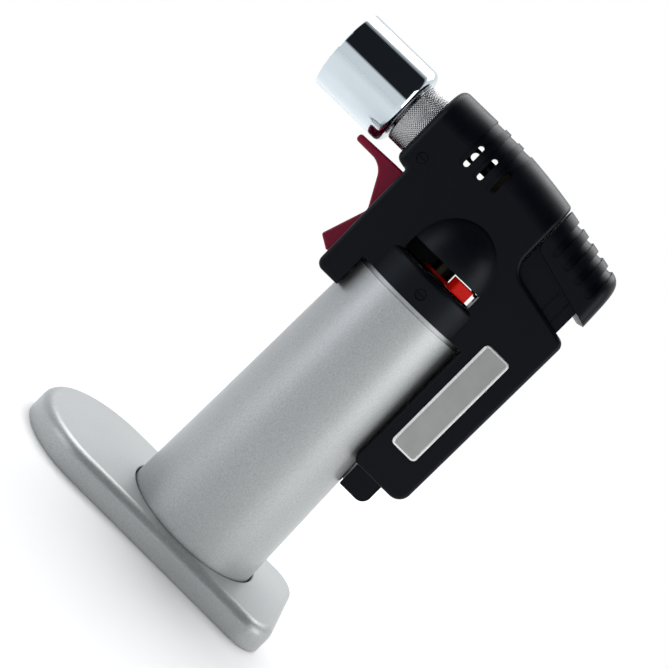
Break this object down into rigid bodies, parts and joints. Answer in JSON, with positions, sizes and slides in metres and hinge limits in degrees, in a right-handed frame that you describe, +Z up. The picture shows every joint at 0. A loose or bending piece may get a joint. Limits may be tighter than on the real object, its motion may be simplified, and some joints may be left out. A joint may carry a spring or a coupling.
{
  "type": "butane torch",
  "caption": "Hand-held butane micro torch on a D-shaped base: tapered tank, split housing with handle, open flame tube, trigger and ribbed igniter button.",
  "frame": {"origin": "the tank's axis where it meets the table, under the base's feet", "axes": "+Z up along the tank; the nozzle points to -X and the handle is on +X; +Y is the right side"},
  "size_m": [0.1002, 0.0524, 0.15],
  "materials": {
    "silver_paint": "satin silver paint with a fine metallic grain",
    "black_plastic": "near-black moulded plastic with a soft sheen",
    "soft_rubber": "matt black rubber",
    "brass": "machined brass",
    "dark_brass": "oxidised dark brass",
    "heat_steel": "grey steel darkened by heat",
    "felt": "pale felt",
    "spring_steel": "bright spring steel",
    "red_plastic": "glossy red-orange plastic",
    "crimson_plastic": "dark crimson plastic",
    "label_metal": "brushed grey metal with a brighter border",
    "black_steel": "blackened steel",
    "white_plastic": "white plastic",
    "lead_sleeve": "black silicone sleeve",
    "ceramic": "glazed white ceramic",
    "knurled_steel": "nickel-plated diamond knurl",
    "chrome": "mirror chrome"
  },
  "bodies": {
    "stand": {"stand_base": "silver_paint", "stand_feet": "soft_rubber"},
    "torch": {"tank_shell": "silver_paint", "tank_bottom_cap": "black_plastic", "refill_valve": "brass", "wick": "felt", "tank_head": "black_plastic", "head_seal": "soft_rubber", "outlet_valve_body": "dark_brass", "valve_spring": "spring_steel", "housing_left": "black_plastic", "housing_right": "black_plastic", "label_plate": "label_metal", "housing_screws": "black_steel", "handle_foot": "black_plastic", "trigger_spring": "spring_steel", "rocker_pin": "spring_steel", "piezo_housing": "white_plastic", "piezo_spring": "spring_steel", "ignition_lead": "lead_sleeve", "ceramic_insulator": "ceramic", "electrode": "spring_steel", "gas_tube": "brass", "gas_manifold": "dark_brass", "gas_jet": "brass", "mixing_tube": "dark_brass", "burner_head": "heat_steel", "flame_tube": "chrome"},
    "trigger": {"trigger": "crimson_plastic"},
    "rocker": {"valve_rocker": "spring_steel"},
    "valve_stem": {"valve_stem": "brass"},
    "thumb_button": {"thumb_button": "black_plastic", "piezo_plunger": "white_plastic"},
    "flow_lever": {"flow_lever": "red_plastic"},
    "air_collar": {"air_collar": "knurled_steel"}
  },
  "joints": [
    {"name": "stand_release", "type": "slide", "parent": "stand", "child": "torch", "axis": [0, 0, 1], "range_m": [0, 0.03]},
    {"name": "trigger_pull", "type": "slide", "parent": "torch", "child": "trigger", "axis": [1, 0, 0], "range_m": [0, 0.004], "stiffness_N_per_m": 600, "springref_m": -0.003, "deforming": ["trigger_spring"]},
    {"name": "rocker_turn", "type": "hinge", "parent": "torch", "child": "rocker", "pos_m": [-0.004, 0, 0.125], "axis": [0, -1, 0], "range_deg": [0, 23]},
    {"name": "stem_lift", "type": "slide", "parent": "torch", "child": "valve_stem", "axis": [0, 0, 1], "range_m": [0, 0.0016], "deforming": ["valve_spring"]},
    {"name": "button_press", "type": "slide", "parent": "torch", "child": "thumb_button", "axis": [0, 0, -1], "range_m": [0, 0.006], "stiffness_N_per_m": 900, "springref_m": -0.003, "deforming": ["piezo_spring"]},
    {"name": "flow_adjust", "type": "hinge", "parent": "torch", "child": "flow_lever", "pos_m": [0, 0, 0.1098], "axis": [0, 0, 1], "range_deg": [-51, 0]},
    {"name": "air_adjust", "type": "hinge", "parent": "torch", "child": "air_collar", "pos_m": [-0.0328, 0, 0.1355], "axis": [1, 0, 0], "range_deg": [0, 90]}
  ],
  "couplings": [
    {"joint": "rocker_turn", "follows": "trigger_pull", "rad_per_m": 100},
    {"joint": "stem_lift", "follows": "trigger_pull", "ratio": 0.4}
  ]
}
